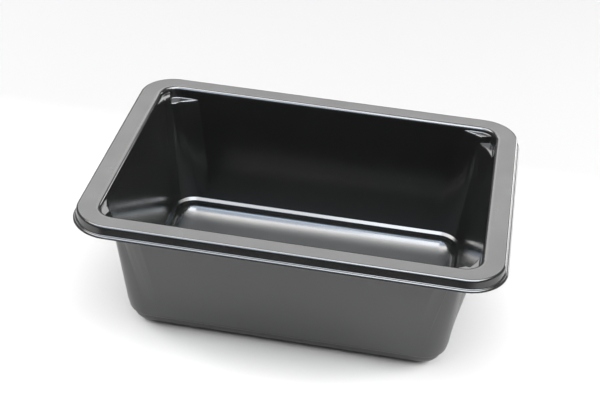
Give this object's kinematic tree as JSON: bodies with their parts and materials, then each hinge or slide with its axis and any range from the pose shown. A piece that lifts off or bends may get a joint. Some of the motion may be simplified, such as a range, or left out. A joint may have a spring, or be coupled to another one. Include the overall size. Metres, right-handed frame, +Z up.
{
  "type": "plastic meal tray",
  "caption": "Deep black plastic tray for a sealed ready meal, with a flat sealing rim, drafted walls, stacking lugs in its corners and a narrow ledge above a flat foot.",
  "frame": {"origin": "middle of the underside of the foot", "axes": "+X along the long side, +Z up through the open mouth"},
  "size_m": [0.188, 0.138, 0.0655],
  "materials": {
    "tray": "black crystallised PET sheet, satin outside and on the sealing rim, glossier on the food side"
  },
  "bodies": {
    "root": {"tray": "tray"}
  },
  "joints": []
}
